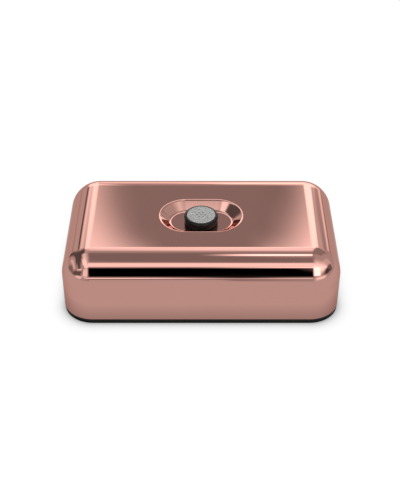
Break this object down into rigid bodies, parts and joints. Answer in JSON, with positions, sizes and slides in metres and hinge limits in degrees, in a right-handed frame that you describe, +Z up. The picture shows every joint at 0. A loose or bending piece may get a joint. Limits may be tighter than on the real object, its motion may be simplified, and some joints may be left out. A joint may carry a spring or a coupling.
{
  "type": "pore vacuum device",
  "caption": "Palm-size rounded mirror-finish box with a push-on abrasive suction tip standing in a dished stadium recess, over a diaphragm pump, motor, pouch battery and board.",
  "frame": {"origin": "centre of the base pad's underside, on the surface the device stands on", "axes": "+Z up through the tip, +X along the long side, -Y the plain front side, +Y the rear side with the button and charging socket"},
  "size_m": [0.09, 0.054, 0.0241],
  "materials": {
    "rose_gold": "mirror-polished rose-gold plating",
    "black_plastic": "satin black moulding",
    "black_rubber": "matte",
    "grit": "matte nickel-bonded grit",
    "steel": "plain",
    "brass": "plain",
    "copper": "enamelled windings",
    "white_plastic": "moulded",
    "silicone": "translucent, smooth",
    "felt": "felted",
    "ferrite": "sintered",
    "pouch": "laminated foil",
    "foam": "open foam",
    "board": "solder-masked",
    "clear": "polished clear plastic",
    "red_wire": "smooth",
    "black_wire": "smooth"
  },
  "bodies": {
    "housing": {"upper_shell": "rose_gold", "bottom_cover": "black_plastic", "base_pad": "black_rubber", "cover_screw_1": "steel", "cover_screw_2": "steel", "cover_screw_3": "steel", "cover_screw_4": "steel", "nozzle_socket": "black_plastic", "nozzle_gasket": "silicone", "nozzle_screw_1": "steel", "nozzle_screw_2": "steel", "suction_tube": "silicone", "pump_cover": "white_plastic", "valve_plate": "white_plastic", "valve_flap": "black_rubber", "pump_diaphragm": "black_rubber", "diaphragm_holder": "black_plastic", "crankcase": "black_plastic", "pump_screw_1": "steel", "pump_screw_2": "steel", "pump_screw_3": "steel", "pump_screw_4": "steel", "motor_can": "steel", "motor_end_cap": "white_plastic", "front_bearing": "brass", "rear_bearing": "brass", "magnet_left": "ferrite", "magnet_right": "ferrite", "brush_terminal_1": "brass", "brush_terminal_2": "brass", "battery_cell": "pouch", "battery_foam": "foam", "circuit_board": "board", "board_screw_1": "steel", "board_screw_2": "steel", "controller_chip": "black_plastic", "lead_connector": "white_plastic", "usb_socket": "steel", "usb_tongue": "black_plastic", "tact_switch": "black_plastic", "status_led": "white_plastic", "light_pipe": "clear", "motor_lead_red": "red_wire", "motor_lead_black": "black_wire", "battery_lead_red": "red_wire", "battery_lead_black": "black_wire"},
    "tip": {"tip_sleeve": "black_plastic", "abrasive_disc": "grit", "tip_seal_ring": "black_rubber", "tip_filter": "felt"},
    "button": {"power_button": "black_plastic", "switch_plunger": "white_plastic"},
    "rotor": {"motor_shaft": "steel", "armature": "copper", "commutator": "copper", "eccentric_wheel": "white_plastic", "crank_pin": "steel"},
    "yoke": {"wobble_yoke": "white_plastic"}
  },
  "joints": [
    {"name": "tip_pull", "type": "slide", "parent": "housing", "child": "tip", "axis": [0, 0, 1], "range_m": [0, 0.012]},
    {"name": "button_press", "type": "slide", "parent": "housing", "child": "button", "axis": [0, -1, 0], "range_m": [0, 0.0005], "stiffness_N_per_m": 300, "springref_m": -0.0005},
    {"name": "motor_spin", "type": "hinge", "parent": "housing", "child": "rotor", "pos_m": [0.026, 0, 0.0111], "axis": [0, -1, 0], "continuous": true, "deforming": ["pump_diaphragm"]},
    {"name": "yoke_wobble", "type": "hinge", "parent": "rotor", "child": "yoke", "pos_m": [0.026, -0.01125, 0.0111], "axis": [0.1045, -0.9945, 0], "continuous": true, "deforming": ["pump_diaphragm"]}
  ],
  "couplings": [
    {"joint": "yoke_wobble", "follows": "motor_spin", "ratio": -1}
  ]
}
